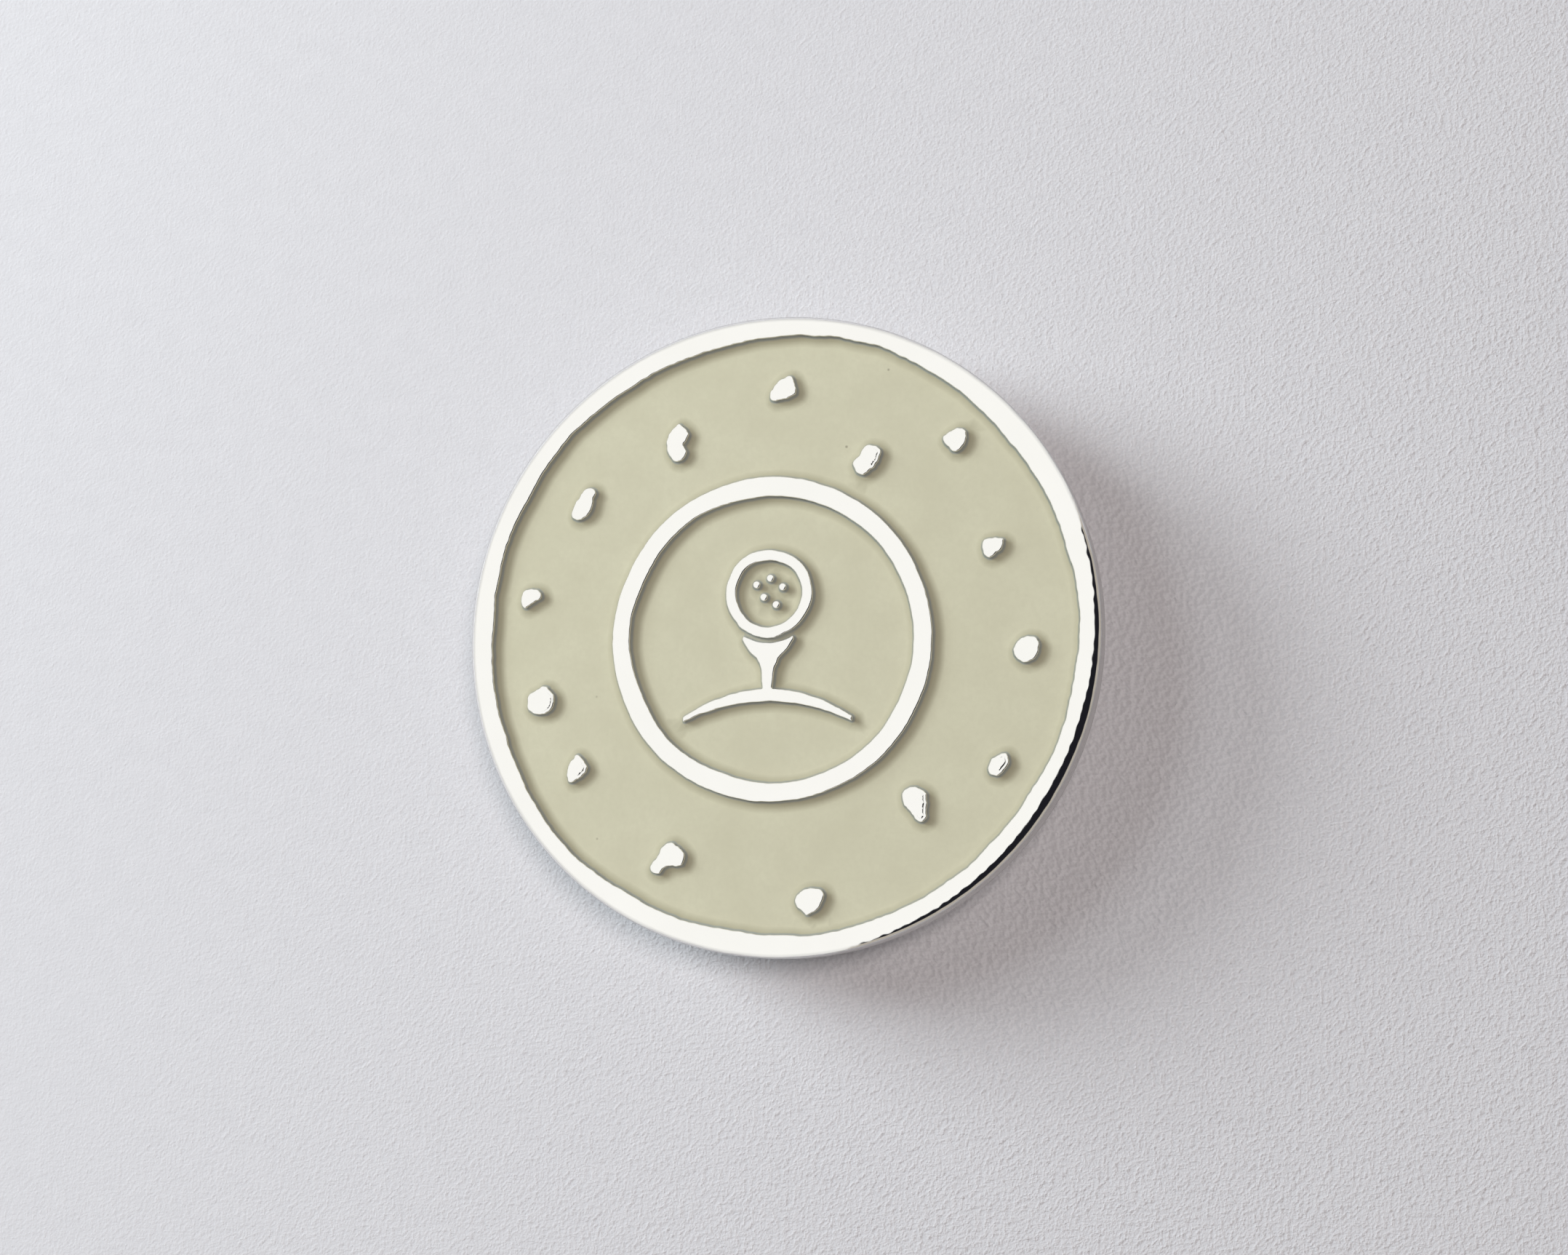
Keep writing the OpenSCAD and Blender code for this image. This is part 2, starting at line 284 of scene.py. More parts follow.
class Finish:
    """A node material with one Principled shader, and short names for the nodes it needs."""

    def __init__(self, name, **values):
        self.material = bpy.data.materials.new(name)
        self.material.use_nodes = True
        self.tree = self.material.node_tree
        self.shader = self.tree.nodes["Principled BSDF"]
        for key, value in values.items():
            self.shader.inputs[key.replace("_", " ")].default_value = value
        self.place = self.tree.nodes.new("ShaderNodeTexCoord").outputs["Object"]

    def node(self, kind, values=(), **settings):
        made = self.tree.nodes.new("ShaderNode" + kind)
        for key, value in settings.items():
            setattr(made, key, value)
        for key, value in dict(values).items():
            if isinstance(value, bpy.types.NodeSocket):
                self.tree.links.new(value, made.inputs[key])
            else:
                made.inputs[key].default_value = value
        return made

    def stretched(self, scale):
        return self.node("Mapping", {"Vector": self.place, "Scale": scale}).outputs["Vector"]

    def noise(self, per_mm, detail=2.0, roughness=0.5, place=None):
        """Noise that repeats about that many times in a millimetre, from 0 to 1."""
        return self.node("TexNoise", {
            "Vector": self.place if place is None else place, "Scale": per_mm / MM,
            "Detail": detail, "Roughness": roughness}).outputs["Fac"]

    def spots(self, per_mm, size, place=None):
        """1 within size of scattered points, and 0 away from them. size is a share of their spacing."""
        cells = self.node("TexVoronoi", {
            "Vector": self.place if place is None else place, "Scale": per_mm / MM,
            "Randomness": 1.0}).outputs["Distance"]
        return self.span(cells, size, size * 0.4, 0.0, 1.0)

    def span(self, value, low, high, to_low, to_high):
        """Maps a value from one range to another, held at the ends."""
        return self.node("MapRange", {
            0: value, 1: low, 2: high, 3: to_low, 4: to_high}, clamp=True).outputs[0]

    def maths(self, operation, a, b):
        return self.node("Math", {0: a, 1: b}, operation=operation).outputs[0]

    def mix(self, share, first, second):
        return self.node("Mix", {0: share, 6: first, 7: second}, data_type="RGBA").outputs[2]

    def colour(self, value):
        self.tree.links.new(value, self.shader.inputs["Base Color"])

    def roughness(self, value):
        self.tree.links.new(value, self.shader.inputs["Roughness"])

    def bump(self, *heights):
        """Each height is (value, how far 0 to 1 stands proud in mm)."""
        normal = None
        for value, proud in heights:
            values = {"Height": value, "Distance": proud * MM, "Strength": 1.0}
            if normal is not None:
                values["Normal"] = normal
            normal = self.node("Bump", values).outputs["Normal"]
        self.tree.links.new(normal, self.shader.inputs["Normal"])


def rgb(red, green, blue):
    return (red, green, blue, 1.0)


def polished_metal():
    """Mirror polish on the face, and a duller tumbled finish on the coin's outer wall."""
    f = Finish("polished_plating", Metallic=1.0)
    flat = f.node("VectorMath", {0: f.place, 1: (1, 1, 0)}, operation="MULTIPLY").outputs["Vector"]
    radius = f.node("VectorMath", {0: flat}, operation="LENGTH").outputs["Value"]
    on_wall = f.span(radius, (MARKER_R - 0.05) * MM, (MARKER_R - 0.02) * MM, 0.0, 1.0)
    face = f.mix(f.noise(0.5, 3), rgb(0.93, 0.925, 0.905), rgb(0.965, 0.96, 0.945))
    tumbled = f.noise(1.0, 4, 0.65, f.stretched((1.2, 1.2, 9.0)))
    f.colour(f.mix(on_wall, face, f.mix(tumbled, rgb(0.56, 0.555, 0.55), rgb(0.7, 0.695, 0.685))))
    worn = f.span(f.noise(1.1, 4, 0.6), 0.5, 0.72, 0.045, 0.11)
    dull = f.maths("MULTIPLY", on_wall, f.span(tumbled, 0.3, 0.7, 0.12, 0.24))
    f.roughness(f.maths("ADD", worn, dull))
    hairlines = f.noise(1.0, 2, 0.6, f.stretched((9.0, 0.6, 1.0)))
    f.bump((f.noise(0.7, 1), 0.004), (hairlines, 0.0004))
    return f.material


def enamel_finish():
    f = Finish("soft_enamel", Roughness=0.42, Specular_IOR_Level=0.5)
    base = f.mix(f.span(f.noise(0.45, 3, 0.6), 0.3, 0.7, 0.0, 1.0),
                 rgb(0.61, 0.592, 0.435), rgb(0.655, 0.64, 0.475))
    fine = f.mix(f.span(f.noise(5.0, 2, 0.6), 0.35, 0.7, 0.0, 0.35), base, rgb(0.58, 0.56, 0.41))
    gap = f.node("Attribute", attribute_name="metal_gap").outputs["Fac"]
    shadow_gap = f.node("Attribute", attribute_name="painted_shadow_gap").outputs["Fac"]
    # painted shadow: the enamel is darkened on the lower right of each raised shape, where its cast shadow
    # falls; close to the metal all round, part of it is thicker enamel
    painted_shadow = f.mix(f.span(shadow_gap, 0.12, 0.4, 0.85, 0.0), fine, rgb(0.385, 0.365, 0.25))
    # painted shade: a dark bluish line in the enamel within 0.1 mm of the metal, where the seam falls into
    # shade
    painted_edge_shade = f.mix(f.span(gap, 0.04, 0.1, 0.8, 0.0), painted_shadow, rgb(0.27, 0.3, 0.29))
    speck = f.spots(0.42, 0.03)
    f.colour(f.mix(f.maths("MULTIPLY", speck, 0.6), painted_edge_shade, rgb(0.2, 0.18, 0.12)))
    f.roughness(f.span(f.noise(2.2, 3), 0.3, 0.7, 0.36, 0.5))
    f.bump((f.noise(1.0, 2), 0.006), (f.noise(6.0, 2), 0.0012), (speck, 0.004))
    return f.material


def dish_finish():
    f = Finish("turned_plating", Metallic=1.0)
    f.colour(f.mix(f.noise(0.4, 3), rgb(0.78, 0.78, 0.77), rgb(0.86, 0.86, 0.85)))
    f.roughness(f.span(f.noise(1.5, 4, 0.6), 0.35, 0.7, 0.14, 0.3))
    rings = f.node("TexWave", {"Vector": f.place, "Scale": 2600.0, "Distortion": 0.6, "Detail": 2.0},
                   wave_type="RINGS", rings_direction="Z").outputs["Fac"]
    f.bump((rings, 0.0016), (f.noise(2.0, 3), 0.002))
    return f.material


def magnet_finish():
    f = Finish("nickel_plating", Metallic=1.0)
    f.colour(f.mix(f.noise(0.6, 3), rgb(0.62, 0.61, 0.59), rgb(0.71, 0.7, 0.68)))
    f.roughness(f.span(f.noise(1.1, 5, 0.65), 0.35, 0.65, 0.2, 0.32))
    scuffs = f.noise(1.0, 3, 0.7, f.stretched((0.5, 7.0, 1.0)))
    f.bump((scuffs, 0.0007), (f.noise(2.0, 2), 0.0012))
    return f.material


def adhesive_finish():
    f = Finish("cured_epoxy", Transmission_Weight=0.25, IOR=1.52)
    f.colour(f.mix(f.noise(0.8, 3), rgb(0.6, 0.48, 0.24), rgb(0.68, 0.57, 0.32)))
    f.roughness(f.span(f.noise(3.0, 3), 0.3, 0.7, 0.18, 0.34))
    f.bump((f.noise(1.2, 2), 0.01), (f.spots(2.2, 0.12), 0.006))
    return f.material


def rivet_finish():
    f = Finish("burnished_steel", Metallic=1.0)
    f.colour(f.mix(f.noise(1.6, 4), rgb(0.5, 0.49, 0.48), rgb(0.63, 0.62, 0.61)))
    f.roughness(f.span(f.noise(4.0, 4, 0.65), 0.35, 0.65, 0.2, 0.42))
    f.bump((f.noise(3.0, 3), 0.004), (f.noise(14.0, 2), 0.001))
    return f.material


def strip_finish():
    f = Finish("brushed_strip", Metallic=1.0)
    grain = f.noise(1.0, 4, 0.65, f.stretched((22.0, 0.35, 22.0)))
    f.colour(f.mix(grain, rgb(0.6, 0.6, 0.6), rgb(0.74, 0.74, 0.745)))
    f.roughness(f.span(grain, 0.3, 0.7, 0.2, 0.38))
    f.bump((grain, 0.0022), (f.noise(0.9, 3), 0.003))
    return f.material


def paper_finish():
    """Paper whose grain shows more towards the photograph's lower right."""
    f = Finish("paper", Roughness=0.85, Specular_IOR_Level=0.25)
    beside = f.node("VectorMath", {0: f.place, 1: (0.07 * MM, -0.05 * MM, 0.0)},
                    operation="ADD").outputs["Vector"]
    across = f.node("VectorMath", {0: f.place, 1: (0.85, -0.5, 0.0)},
                    operation="DOT_PRODUCT").outputs["Value"]
    strength = f.span(across, -0.02, 0.02, 0.35, 1.3)
    grain = f.noise(4.4, 2, 0.5)
    # painted shade: the grain minus a shifted copy of itself gives each bump a lighter and a darker side,
    # painted into the colour as well as bumped
    painted_grain_shade = f.maths("MULTIPLY", f.maths("SUBTRACT", grain, f.noise(4.4, 2, 0.5, beside)), strength)
    pulp = f.mix(f.span(f.noise(1.1, 4, 0.6), 0.3, 0.7, 0.0, 1.0),
                 rgb(0.76, 0.76, 0.78), rgb(0.795, 0.795, 0.815))
    f.colour(f.mix(f.span(painted_grain_shade, -0.12, 0.12, 0.5, 0.0), pulp, rgb(0.57, 0.565, 0.585)))
    f.bump((f.maths("MULTIPLY", grain, strength), 0.095), (f.noise(9.0, 2), 0.01))
    return f.material


# ---------------------------------------------------------------- marker

EDGE = 0.06             # radius of the polished edge round every raised line
PEBBLE_EDGE = 0.055     # the same, round a pebble
CREASE_AT = 0.13        # a pebble's crease: how far in from its outline,
CREASE_HALF = 0.03      # half its width,
CREASE_WAY = np.array((0.97, -0.24))    # the side of the pebble that it is on,
CREASE_ROWS = [CREASE_AT - CREASE_HALF, CREASE_AT, CREASE_AT + CREASE_HALF]     # and its rows of points
BED = 0.002             # the enamel's underside clears the metal by this much
SHADOW_SHIFT = (-0.11, 0.06)  # a raised shape's painted shadow is measured from points moved this far towards the light, in mm


def noise_at(points, per_mm, seed):
    return np.array([noise.noise(Vector((x * per_mm, y * per_mm, seed))) for x, y in points])


def rounded(gap, radius):
    """How far a quarter-round edge has fallen at each distance from the outline."""
    inset = np.clip(gap, 0, radius)
    return radius - np.sqrt(np.maximum(radius ** 2 - (radius - inset) ** 2, 0))


def line_top(points, gap):
    """A raised line's height: level, with a barely uneven polish."""
    uneven = 0.006 * (0.5 + 0.5 * noise_at(points, 0.9, 4.0)) * np.clip(gap / 0.25, 0, 1)
    return TOP_Z - rounded(gap, EDGE) - uneven


def pebble_top(points, gap):
    """A pebble's height: nearly level and hammered a little uneven. About half of them have a crease along
    their right side."""
    hammered = 0.028 * (0.5 + 0.5 * noise_at(points, 1.5, 5.0)) * np.clip(gap / 0.2, 0, 1)
    centre = points.mean(0)
    creased = noise_at(centre[None], 0.8, 8.5)[0] > 0
    to_side = np.clip((points - centre) @ CREASE_WAY / 0.15, 0, 1)
    crease = 0.022 * creased * to_side * np.clip(1 - np.abs(gap - CREASE_AT) / CREASE_HALF, 0, 1)
    return TOP_Z - rounded(gap, PEBBLE_EDGE) - hammered - crease


def edge_steps(radius):
    return [radius * (1 - math.cos(math.radians(a))) for a in (22, 45, 67, 90)]


def marker_metal():
    solid = Solid()
    plateau = roughened(circle(MARKER_R - SHOULDER_W, 900), (0.1, 1.6, 20), (0.05, 0.35, 21))
    for outer, inner in ((plateau, rim_in), (ring_out, ring_in), (ball_out, ball_in), (tee, None)):
        loops = [outer] if inner is None else [outer, inner]
        near = [loop for loop in loops if loop is not plateau]
        solid.fill(loops, line_top, near, edge_steps(EDGE) + [0.13], 0.16)
    for pebble in pebbles:
        solid.fill([pebble], pebble_top, [pebble], edge_steps(PEBBLE_EDGE) + CREASE_ROWS, 0.045)
    for dot in dots:
        solid.fill([dot], line_top, [dot], edge_steps(EDGE), 0.06)
    for loop in [rim_in, ring_out, ring_in, ball_out, ball_in, tee] + dots:
        solid.rings([level(loop, TOP_Z - EDGE), level(loop, FIELD_Z)])
    for loop in pebbles:
        solid.rings([level(loop, TOP_Z - PEBBLE_EDGE), level(loop, FIELD_Z)])
    for loops in ([rim_in, ring_out] + pebbles, [ring_in, ball_out, tee], [ball_in] + dots):
        solid.fill(loops, lambda points, gap: np.full(len(points), FIELD_Z), grid=0.9)
    lean = 2 * math.atan(SHOULDER_FALL / SHOULDER_W)
    inset = MARKER_R - np.linalg.norm(plateau, axis=1)
    turn = np.arctan2(plateau[:, 1], plateau[:, 0])
    way = np.column_stack([np.cos(turn), np.sin(turn)])
    shoulder_rings = []
    corner = 0.02
    top = line_top(plateau, depth(plateau, [rim_in]))
    for angle in np.linspace(0, lean, 9):
        radius = MARKER_R - corner - (inset - corner) * (1 - math.sin(angle) / math.sin(lean))
        z = top - SHOULDER_FALL * (1 - math.cos(angle)) / (1 - math.cos(lean))
        shoulder_rings.append(np.column_stack([way * radius[:, None], z]))
    for out, down in ((0.01, 0.015), (0.003, 0.035), (0.0, 0.06)):
        shoulder_rings.append(np.column_stack([way * (MARKER_R - out), top - SHOULDER_FALL - down]))
    back_r = 0.1
    for z in (4.3, 3.9, BACK_Z + back_r):
        shoulder_rings.append(level(way * MARKER_R, z))
    for k in range(1, 5):
        angle = math.radians(22.5 * k)
        shoulder_rings.append(level(way * (MARKER_R - back_r * (1 - math.cos(angle))),
                                    BACK_Z + back_r * (1 - math.sin(angle))))
    for radius in (12.0, 9.0, 6.0, 3.0, 0.5):
        shoulder_rings.append(level(way * radius, BACK_Z))
    solid.rings(shoulder_rings)
    solid.cap(level(way * 0.5, BACK_Z))
    solid.piece("marker_coin", "marker", polished_metal(), ["marker_body"])


def enamel_pool(name, node, loops, material):
    """Enamel that has climbed a little up the metal around it, and isn't quite level. It is darker close to
    the metal, partly because it lies thicker there, and a shadow of each raised shape is painted into it on
    the lower right."""
    def surface(points, gap):
        climb = 0.05 * np.exp(-gap / 0.06)
        sway = 0.012 * noise_at(points, 0.45, 9.0) * np.clip(gap / 0.4, 0, 1)
        return ENAMEL_Z + climb + sway - 0.004

    solid = Solid()
    solid.fill(loops, surface, loops, [0.03, 0.07, 0.13, 0.22, 0.34], 0.3)
    rise = surface(np.zeros((1, 2)), np.zeros(1))[0]
    for loop in loops:
        solid.rings([level(loop, rise), level(loop, FIELD_Z + BED)])
    solid.fill(loops, lambda points, gap: np.full(len(points), FIELD_Z + BED), grid=0.9)
    made = solid.piece(name, "marker", material, [node])
    spots = np.array([v.co[:2] for v in made.data.vertices]) / MM
    # painted shadow: distances taken from points moved towards the light, so the darkening reaches further to
    # the lower right
    shadow_spots = spots + SHADOW_SHIFT
    shadow_gap = np.where(inside(shadow_spots, loops), depth(shadow_spots, loops), 0)
    for key, values in (("metal_gap", depth(spots, loops)), ("painted_shadow_gap", shadow_gap)):
        shade = made.data.attributes.new(key, "FLOAT", "POINT")
        shade.data.foreach_set("value", values.astype(np.float32))


enamel = enamel_finish()
marker_metal()
enamel_pool("enamel_field", "outer_enamel", [rim_in, ring_out] + pebbles, enamel)
enamel_pool("enamel_centre", "inner_enamel", [ring_in, ball_out, tee], enamel)
enamel_pool("enamel_ball", "ball_enamel", [ball_in] + dots, enamel)


# ---------------------------------------------------------------- clip

def arc_points(centre, radius, start, end, count):
    turns = np.radians(np.linspace(start, end, count))
    return [(centre[0] + radius * math.cos(t), centre[1] + radius * math.sin(t)) for t in turns]


def turned(solid, profile, count, centre=(0, 0)):
    """Turns a profile of (radius, z) points about an upright axis."""
    solid.rings([level(circle(r, count, centre), z) for r, z in profile])


def dish():
    low, high = box_mm("clip_dish")
    outer, floor_z = high[0], box_mm("magnet_adhesive")[0][2]
    wall, lip, foot, fillet = 0.8, 0.2, 0.6, 0.25
    rivet_y, hole_r = 7.6, 0.62
    inner = outer - wall
    solid = Solid()
    holes = [circle(hole_r, 40, (0, y)) for y in (-rivet_y, rivet_y)]
    inside_floor = circle(inner - fillet, 240)
    under_floor = circle(outer - foot, 240)
    solid.fill([inside_floor] + holes, lambda p, g: np.full(len(p), floor_z), grid=1.0)
    solid.fill([under_floor] + holes, lambda p, g: np.full(len(p), low[2]), grid=1.0)
    for hole in holes:
        solid.rings([level(hole, floor_z), level(hole, low[2])])
    profile = arc_points((outer - foot, low[2] + foot), foot, -90, 0, 9)
    profile += arc_points((outer - lip, high[2] - lip), lip, 0, 90, 6)
    profile += arc_points((inner + lip, high[2] - lip), lip, 90, 180, 6)
    profile += arc_points((inner - fillet, floor_z + fillet), fillet, 0, -90, 6)
    turned(solid, profile, 240)
    solid.piece("clip_dish_turned", "clip", dish_finish(), ["clip_dish"])


def magnet():
    low, high = box_mm("magnet")
    radius, edge, hub = high[0], 0.14, 0.4
    profile = [(hub, low[2]), (3.0, low[2])]
    profile += arc_points((radius - edge, low[2] + edge), edge, -90, 0, 5)
    profile += arc_points((radius - edge, high[2] - edge), edge, 0, 90, 5)
    profile += [(3.0, high[2]), (hub, high[2])]
    solid = Solid()
    turned(solid, profile, 160)
    for z in (low[2], high[2]):
        solid.cap(level(circle(hub, 160), z))
    solid.piece("magnet_disc", "clip", magnet_finish(), ["magnet"])


def adhesive():
    """A film under the magnet, squeezed out into an uneven bead round its edge."""
    low, high = box_mm("magnet_adhesive")
    radius = box_mm("magnet")[1][0]
    count = 160
    film = circle(radius - 0.9, count)
    solid = Solid()
    rings = [level(film, high[2])]
    for share, rise in ((0.35, 0.0), (0.55, 0.02), (0.75, 0.1), (0.9, 0.12), (1.0, 0.06), (1.04, 0.0)):
        edge = circle(radius + 0.45 * (share - 0.5), count, lumps=0.5 * share, seed=6.0)
        rings.append(level(edge, high[2] + rise))
    rings.append(level(circle(radius + 0.2, count, lumps=0.5, seed=6.0), low[2]))
    rings.append(level(film, low[2]))
    solid.rings(rings, closed=True)
    solid.piece("epoxy_film", "clip", adhesive_finish(), ["magnet_adhesive"])


def rivet(node, material):
    """A rivet turned about its own axis: a low domed head in the dish, and an upset tail under the strip."""
    low, high = box_mm(node)
    y = (low[1] + high[1]) / 2
    dish_low = box_mm("clip_dish")[0][2]
    floor_z = box_mm("magnet_adhesive")[0][2]
    leaf_low = box_mm("clip_leaf")[0][2]
    head_r, shank_r, tail_r = high[0], 0.6, 0.9
    hub, tail_dip = 0.06, 0.03
    profile = [(hub, high[2]), (0.35, high[2] - 0.012), (0.65, high[2] - 0.05), (0.88, high[2] - 0.12)]
    profile += [(head_r - 0.03, high[2] - 0.2), (head_r, high[2] - 0.26), (head_r, floor_z)]
    profile += [(shank_r, floor_z), (shank_r, dish_low), (shank_r, leaf_low)]
    profile += [(tail_r, leaf_low), (tail_r, leaf_low - 0.06), (tail_r - 0.05, low[2] + 0.03),
                (tail_r - 0.2, low[2]), (0.3, low[2] + 0.008), (hub, low[2] + tail_dip)]
    solid = Solid()
    turned(solid, profile, 64, (0, y))
    for z in (high[2], low[2] + tail_dip):
        solid.cap(level(circle(hub, 64, (0, y)), z))
    solid.piece(node + "_turned", "clip", material, [node])


def strip(solid, path, half, thick, corner_start, corner_end):
    """Sweeps a strip of rounded section along a path of (y, z) points in the plane x = 0. A free end has
    rounded plan corners of the given radius, and 0 leaves the end square."""
    edge = 0.09
    path = np.array(path)
    along = np.concatenate([[0], np.cumsum(np.linalg.norm(np.diff(path, axis=0), axis=1))])
    way = np.gradient(path, axis=0)
    way /= np.linalg.norm(way, axis=1)[:, None]
    side = np.column_stack([-way[:, 1], way[:, 0]])
    rings = []
    for i, (spot, out) in enumerate(zip(path, side)):
        width, depth_now = half, thick / 2
        for gap, corner in ((along[i], corner_start), (along[-1] - along[i], corner_end)):
            if corner and gap < corner:
                width = min(width, half - corner + math.sqrt(corner ** 2 - (corner - gap) ** 2))
            if corner and gap < edge:
                depth_now = min(depth_now, thick / 2 - edge + math.sqrt(edge ** 2 - (edge - gap) ** 2))
        inner = max(width - edge, 0.05)
        section = []
        for turn, across in ((0, 1), (90, -1), (180, -1), (270, 1)):
            up = 1 if turn in (0, 90) else -1
            for k in range(4):
                a = math.radians(turn + 30 * k)
                soft = min(edge, depth_now)
                section.append((across * inner + soft * math.cos(a),
                                up * (depth_now - soft) + soft * math.sin(a)))
            if turn in (0, 180):
                run = np.linspace(across * inner, -across * inner, 12)[1:-1]
                section += [(x, up * depth_now) for x in run]
        rings.append(np.array([(x, spot[0] + v * out[0], spot[1] + v * out[1]) for x, v in section]))
    solid.rings(rings)
    solid.cap(rings[0])
    solid.cap(rings[-1])


def ease(start, end, corner):
    """Distances from start to end in even steps, with close ones near the start for a rounded end."""
    near = [0, 0.01, 0.03, 0.06, 0.09, 0.15, 0.25, 0.4, 0.6, 0.85, 1.15, 1.5, 1.9, 2.3, 2.7, 3.1]
    near = [d for d in near if d <= corner + 0.3]
    sign = 1 if end > start else -1
    rest = np.arange(near[-1] + 0.5, abs(end - start), 0.5)
    return [start + sign * d for d in near + rest.tolist()]


def clip_strips():
    """The folded strip: the upper leaf, the fold and the flat run of the arm in one piece that bends at the
    fold, and the rest of the arm, from its first crease, in another."""
    leaf_low, leaf_high = box_mm("clip_leaf")
    arm_low, arm_high = box_mm("spring_arm")
    thick = leaf_high[2] - leaf_low[2]
    half = leaf_high[0]
    fold_y, fold_z = leaf_high[1], leaf_high[2] / 2
    flat_y, crest_y, crest_rise = 3.0, -5.0, 0.8
    leaf_corner, arm_corner = 3.0, 2.0
    bend_r = fold_z - thick / 2
    leaf_z, arm_z = fold_z + bend_r, thick / 2
    leaf = [(y, leaf_z) for y in ease(leaf_low[1], fold_y, leaf_corner)]
    fold = arc_points((fold_y, fold_z), bend_r, 90, -90, 33)
    run = [(y, arm_z) for y in np.arange(fold_y - 0.5, flat_y + 0.2, -0.5)] + [(flat_y, arm_z)]
    material = strip_finish()
    upper = Solid()
    strip(upper, leaf + fold + run, half, thick, leaf_corner, 0)
    made = upper.piece("folded_strip", None, material, ["clip_leaf", "clip_fold"])
    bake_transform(made)

    corners = np.array([(flat_y + 2, 0), (flat_y, 0), (crest_y + 0.6, crest_rise - 0.05),
                        (crest_y, crest_rise), (crest_y - 0.6, crest_rise - 0.1), (arm_low[1], 0)])
    ys = np.array([flat_y] + ease(arm_low[1], flat_y, arm_corner)[::-1])
    fine = np.linspace(flat_y + 2, arm_low[1] - 1, 1400)
    slope = (corners[-1, 1] - corners[-2, 1]) / (corners[-1, 0] - corners[-2, 0])
    height = np.interp(-fine, -corners[:, 0], corners[:, 1])
    beyond = fine < arm_low[1]
    height[beyond] = slope * (fine[beyond] - arm_low[1])
    kernel = np.hanning(61)
    smooth = np.convolve(np.pad(height, 30, mode="edge"), kernel / kernel.sum(), mode="valid")
    lift = np.interp(-ys, -fine, smooth)
    lift[0] = 0
    lower = Solid()
    strip(lower, [(y, max(z, 0) + arm_z + 0.002) for y, z in zip(ys, lift)], half, thick, 0, arm_corner)
    lower.piece("arm_blade", "arm", material, ["spring_arm"])


dish()
magnet()
adhesive()
rivet_steel = rivet_finish()
rivet("rivet_front", rivet_steel)
rivet("rivet_back", rivet_steel)
clip_strips()


# ---------------------------------------------------------------- floor, camera and light

def grid_sheet(name, half, count, material):
    mesh = bpy.data.meshes.new(name)
    line = np.linspace(-half, half, count)
    points = [(x, y, 0.0) for y in line for x in line]
    faces = [(r * count + c, r * count + c + 1, (r + 1) * count + c + 1, (r + 1) * count + c)
             for r in range(count - 1) for c in range(count - 1)]
    mesh.from_pydata(points, [], faces)
    mesh.materials.append(material)
    made = bpy.data.objects.new(name, mesh)
    bpy.context.scene.collection.objects.link(made)


def direction(azimuth, elevation):
    a, e = math.radians(azimuth), math.radians(elevation)
    return Vector((math.cos(a) * math.cos(e), math.sin(a) * math.cos(e), math.sin(e)))


def soft_light(name, way, distance, spread, radiance):
    """A round light that faces the marker and doesn't show in its polish. spread is its angular radius in
    degrees, seen from the marker, and radiance is what each colour sends."""
    peak = max(radiance)
    size = 2 * distance * math.tan(math.radians(spread))
    data = bpy.data.lights.new(name, "AREA")
    data.shape = "DISK"
    data.size = size
    data.color = [c / peak for c in radiance]
    data.energy = peak * math.pi * math.pi * size ** 2 / 4
    light = bpy.data.objects.new(name, data)
    bpy.context.scene.collection.objects.link(light)
    light.location = way.normalized() * distance
    light.rotation_mode = "QUATERNION"
    light.rotation_quaternion = way.to_track_quat("Z", "Y")
    light.visible_camera = False
    light.visible_glossy = False


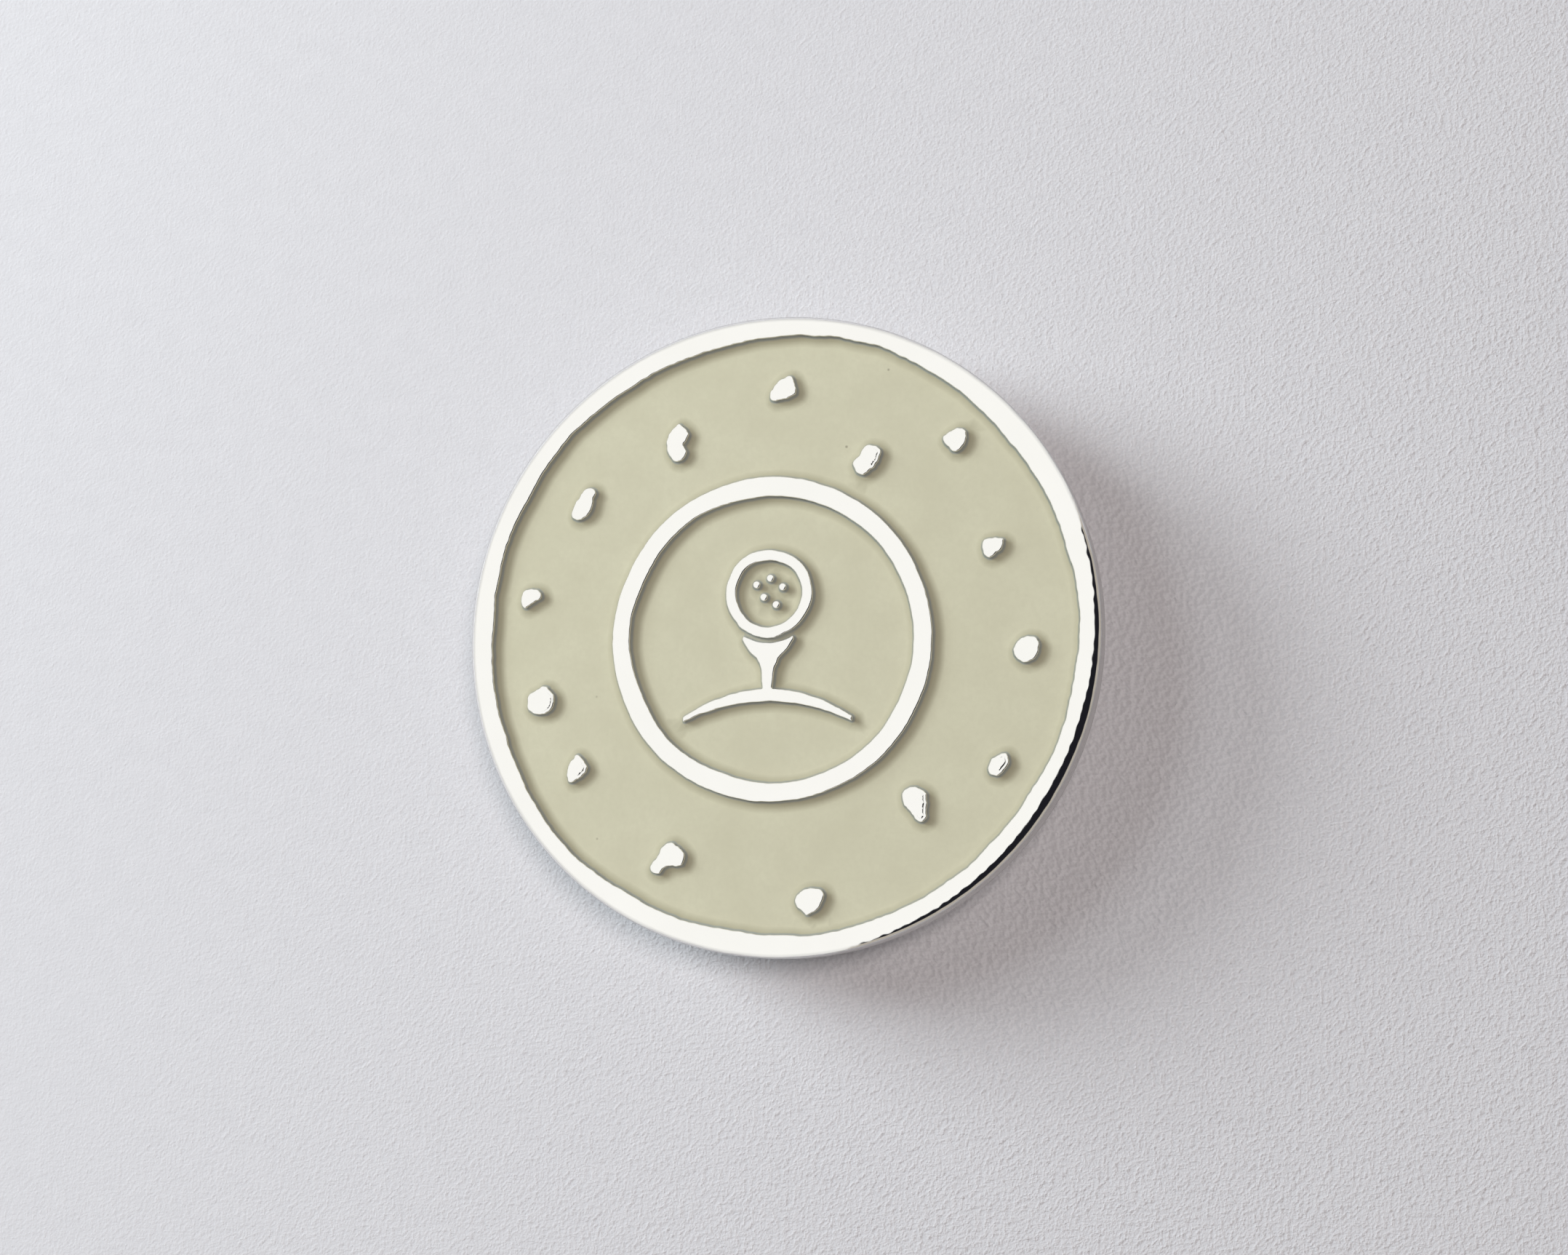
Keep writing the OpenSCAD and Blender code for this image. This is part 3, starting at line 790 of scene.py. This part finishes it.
def studio():
    """What surrounds the marker. Polished metal sees a white tent with a dark gap towards the lower right,
    matt surfaces get a little even light, and the camera sees a pale wall. Angles are in radians."""
    world = bpy.data.worlds.new("studio")
    bpy.context.scene.world = world
    world.use_nodes = True
    tree = world.node_tree

    def node(kind, values, **settings):
        made = tree.nodes.new("ShaderNode" + kind)
        for key, value in settings.items():
            setattr(made, key, value)
        for key, value in values.items():
            if isinstance(value, bpy.types.NodeSocket):
                tree.links.new(value, made.inputs[key])
            else:
                made.inputs[key].default_value = value
        return made

    def maths(operation, a, b=0.0):
        return node("Math", {0: a, 1: b}, operation=operation).outputs["Value"]

    def share(of, low, high, **settings):
        """How far a value has gone from low to high, from 0 to 1."""
        return node("MapRange", {0: of, 1: low, 2: high}, clamp=True, **settings).outputs[0]

    def mixed(amount, first, second):
        return node("Mix", {0: amount, 6: first, 7: second}, data_type="RGBA").outputs[2]

    gap_way, gap_half_width, gap_height = direction(-27, 0), math.radians(61), math.radians(87)
    way = node("TexCoord", {}).outputs["Generated"]
    level_way = node("VectorMath", {0: way, 1: (1, 1, 0)}, operation="MULTIPLY").outputs["Vector"]
    level_way = node("VectorMath", {0: level_way}, operation="NORMALIZE").outputs["Vector"]
    turn = node("VectorMath", {0: level_way, 1: gap_way}, operation="DOT_PRODUCT").outputs["Value"]
    aside = maths("ARCCOSINE", turn)
    rise = maths("ARCSINE", node("SeparateXYZ", {0: way}).outputs["Z"])
    reach = maths("ADD", maths("POWER", maths("DIVIDE", aside, gap_half_width), 2.0),
                  maths("POWER", maths("DIVIDE", rise, gap_height), 2.0))
    cloth = mixed(share(rise, 0.0, 0.6), rgb(0.7, 0.7, 0.69), rgb(0.995, 0.99, 0.96))
    recess = mixed(share(rise, 0.33, 0.42), rgb(0.46, 0.42, 0.365), rgb(0.012, 0.012, 0.016))
    tent = mixed(share(reach, 1.08, 0.94), cloth, recess)
    rays = node("LightPath", {}).outputs
    matt = mixed(rays["Is Glossy Ray"], rgb(0.075, 0.075, 0.08), tent)
    above = share(rise, -0.02, 0.25, interpolation_type="SMOOTHSTEP")
    wall = mixed(above, rgb(0.4, 0.4, 0.41), rgb(0.62, 0.62, 0.63))
    seen = mixed(rays["Is Camera Ray"], matt, wall)
    tree.links.new(seen, tree.nodes["Background"].inputs["Color"])


def camera():
    """The camera stands 15 degrees off the face's normal, towards the lower right. Lengths are in mm."""
    away = direction(-30, 75)
    distance, right, up = 114.15, 0.243, 0.20
    data = bpy.data.cameras.new("camera")
    data.sensor_width = 36.0
    data.lens = 66.79
    data.clip_start = 0.001
    made = bpy.data.objects.new("camera", data)
    bpy.context.scene.collection.objects.link(made)
    turn = Vector((0, 0, 1)).rotation_difference(away)
    face = Vector((0, 0, TOP_Z * MM))
    aim = face + turn @ Vector((right * MM, up * MM, 0))
    made.rotation_mode = "QUATERNION"
    made.rotation_quaternion = turn
    made.location = aim + away * distance * MM
    bpy.context.scene.camera = made


grid_sheet("table", 0.9, 13, paper_finish())
camera()
soft_light("side_light", direction(156, 28), 0.31, 14, (11.4, 12.3, 12.75))
soft_light("high_light", direction(152, 56), 0.24, 9.5, (5.7, 6.25, 6.5))
soft_light("overhead", direction(9, 72.4), 1.0, 8.4, (19.9, 17.9, 17.3))
studio()
bpy.context.scene.view_settings.view_transform = "Standard"
